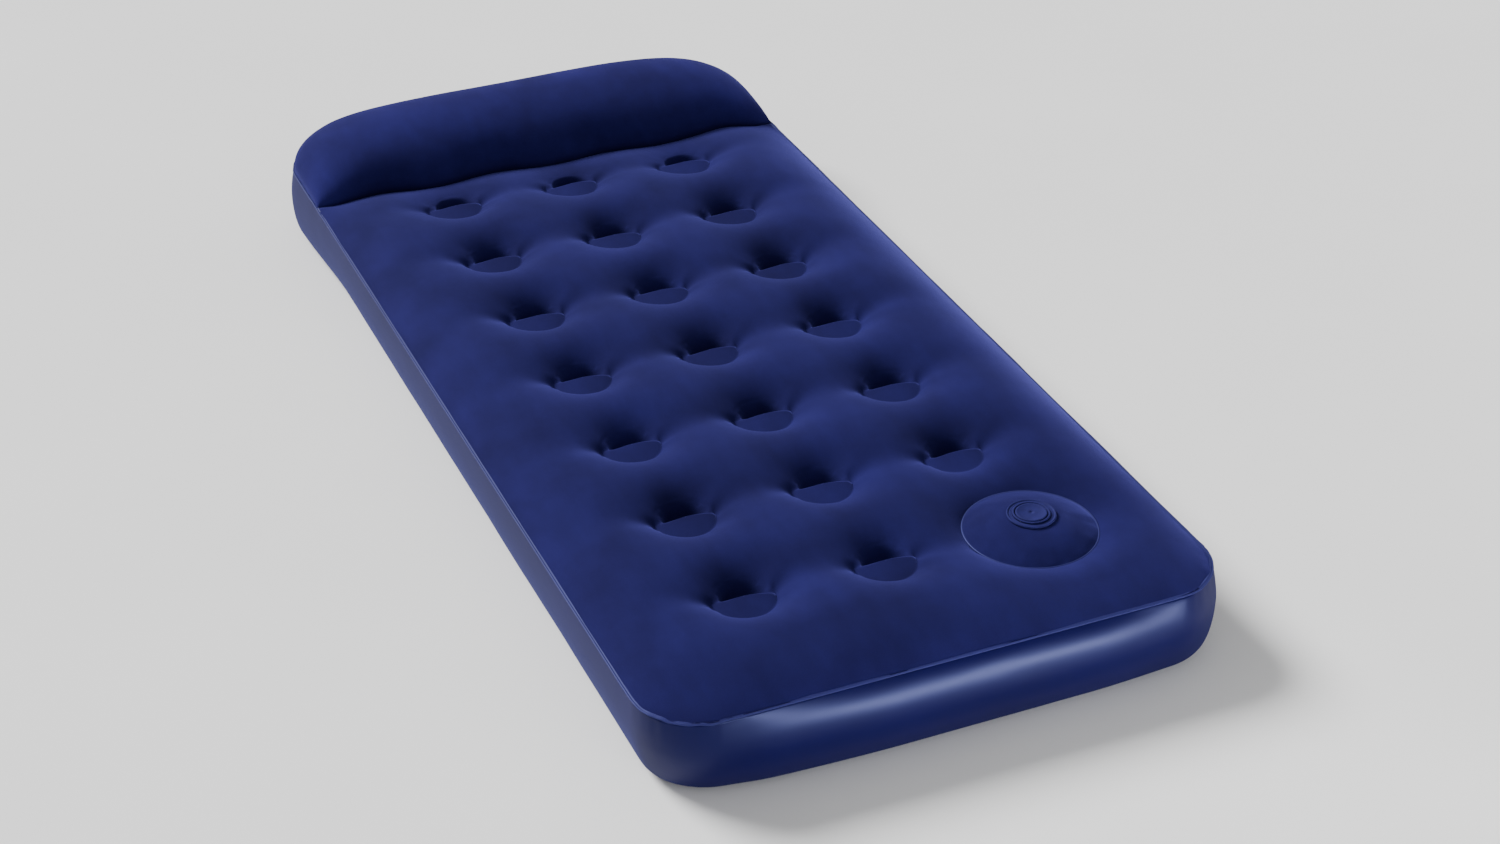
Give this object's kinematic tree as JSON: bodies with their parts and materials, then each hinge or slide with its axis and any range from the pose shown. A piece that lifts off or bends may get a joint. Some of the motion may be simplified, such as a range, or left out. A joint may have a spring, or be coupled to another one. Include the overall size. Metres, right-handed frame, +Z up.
{
  "type": "air mattress",
  "caption": "Single flocked air bed with coil-beam dimples, a raised pillow, a foot pump built into the top and a screw valve at the head end.",
  "frame": {"origin": "centre of the footprint on the floor; the closed valve at the head counts in the length", "axes": "+Z up, +Y towards the pillow, +X towards the side that holds the pump"},
  "size_m": [0.884, 1.8933, 0.215],
  "materials": {
    "flock": "short flock",
    "wall_vinyl": "soft gloss",
    "base_vinyl": "matte",
    "inner_vinyl": "matte",
    "foam": "open-cell foam",
    "moulded_vinyl": "satin",
    "rubber": "matte"
  },
  "bodies": {
    "bed": {"top_sheet": "flock", "pillow_cover": "flock", "side_wall": "wall_vinyl", "bottom_sheet": "base_vinyl", "top_seam": "wall_vinyl", "bottom_seam": "base_vinyl", "crease_seam": "base_vinyl", "pillow_beam": "inner_vinyl", "coil_beam_row1_left": "inner_vinyl", "coil_beam_row1_mid": "inner_vinyl", "coil_beam_row1_right": "inner_vinyl", "coil_beam_row2_left": "inner_vinyl", "coil_beam_row2_mid": "inner_vinyl", "coil_beam_row2_right": "inner_vinyl", "coil_beam_row3_left": "inner_vinyl", "coil_beam_row3_mid": "inner_vinyl", "coil_beam_row3_right": "inner_vinyl", "coil_beam_row4_left": "inner_vinyl", "coil_beam_row4_mid": "inner_vinyl", "coil_beam_row4_right": "inner_vinyl", "coil_beam_row5_left": "inner_vinyl", "coil_beam_row5_mid": "inner_vinyl", "coil_beam_row5_right": "inner_vinyl", "coil_beam_row6_left": "inner_vinyl", "coil_beam_row6_mid": "inner_vinyl", "coil_beam_row6_right": "inner_vinyl", "coil_beam_row7_left": "inner_vinyl", "coil_beam_row7_mid": "inner_vinyl", "pump_well": "inner_vinyl", "pump_ring": "wall_vinyl", "pump_dome": "flock", "pump_foam": "foam", "outlet_seat": "moulded_vinyl", "valve_patch": "wall_vinyl"},
    "intake": {"intake_body": "moulded_vinyl"},
    "plug": {"intake_plug": "moulded_vinyl"},
    "intake_leaf": {"intake_flap": "rubber"},
    "outlet_leaf": {"outlet_flap": "rubber"},
    "seal": {"valve_seal": "rubber"},
    "insert": {"valve_insert": "moulded_vinyl"},
    "disc": {"valve_disc": "rubber"},
    "cap": {"valve_cap": "moulded_vinyl", "valve_strap": "moulded_vinyl"}
  },
  "joints": [
    {"name": "pump_press", "type": "slide", "parent": "bed", "child": "intake", "axis": [0, 0, -1], "range_m": [0, 0.045], "stiffness_N_per_m": 2500, "deforming": ["pump_dome", "pump_foam"]},
    {"name": "plug_pull", "type": "slide", "parent": "intake", "child": "plug", "axis": [0, 0, 1], "range_m": [0, 0.025]},
    {"name": "intake_flap_swing", "type": "hinge", "parent": "intake", "child": "intake_leaf", "pos_m": [0.211, -0.71765, 0.14299], "axis": [0, 1, 0], "range_deg": [0, 50], "stiffness_Nm_per_rad": 0.004},
    {"name": "outlet_flap_swing", "type": "hinge", "parent": "bed", "child": "outlet_leaf", "pos_m": [0.215, -0.71765, 0.0531], "axis": [0, 1, 0], "range_deg": [0, 50], "stiffness_Nm_per_rad": 0.004},
    {"name": "valve_screw_turn", "type": "hinge", "parent": "seal", "child": "insert", "pos_m": [-0.25, 0.93535, 0.068], "axis": [0, 1, 0], "range_deg": [0, 720]},
    {"name": "valve_screw_out", "type": "slide", "parent": "bed", "child": "seal", "axis": [0, 1, 0], "range_m": [0, 0.008]},
    {"name": "valve_disc_lift", "type": "slide", "parent": "insert", "child": "disc", "axis": [0, -1, 0], "range_m": [0, 0.003], "stiffness_N_per_m": 60},
    {"name": "valve_cap_swing", "type": "hinge", "parent": "insert", "child": "cap", "pos_m": [-0.25, 0.94425, 0.038], "axis": [-1, 0, 0], "range_deg": [0, 100]}
  ],
  "couplings": [
    {"joint": "valve_screw_out", "follows": "valve_screw_turn", "m_per_rad": 0.00063662}
  ]
}
